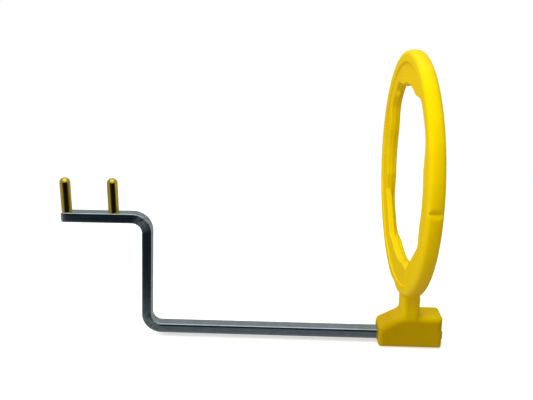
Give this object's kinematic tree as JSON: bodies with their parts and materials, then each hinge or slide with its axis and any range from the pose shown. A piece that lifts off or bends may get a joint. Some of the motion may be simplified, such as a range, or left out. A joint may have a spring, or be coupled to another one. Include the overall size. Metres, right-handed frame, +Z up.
{
  "type": "dental x-ray positioner indicator arm",
  "caption": "Cranked metal arm with domed pins for a bite block at one end and a sliding plastic aiming ring on its long leg, for lining up a dental X-ray cone.",
  "frame": {"origin": "midway between the two bite-block pins, on the upper arm's top face", "axes": "+X runs along the lower leg from the riser towards the ring and the tube head, +Z runs up along the pins, +Y runs across the arm"},
  "size_m": [0.1321, 0.08, 0.1015],
  "materials": {
    "arm_steel": "polished, slightly darkened, with bright worn edges",
    "pin_brass": "polished turned brass with a domed end",
    "ring_plastic": "satin-gloss moulded yellow"
  },
  "bodies": {
    "arm": {"arm_bar": "arm_steel", "outer_pin": "pin_brass", "inner_pin": "pin_brass"},
    "ring": {"aiming_ring": "ring_plastic"}
  },
  "joints": [
    {"name": "ring_slide", "type": "slide", "parent": "arm", "child": "ring", "axis": [1, 0, 0], "range_m": [-0.076, 0.008]}
  ]
}
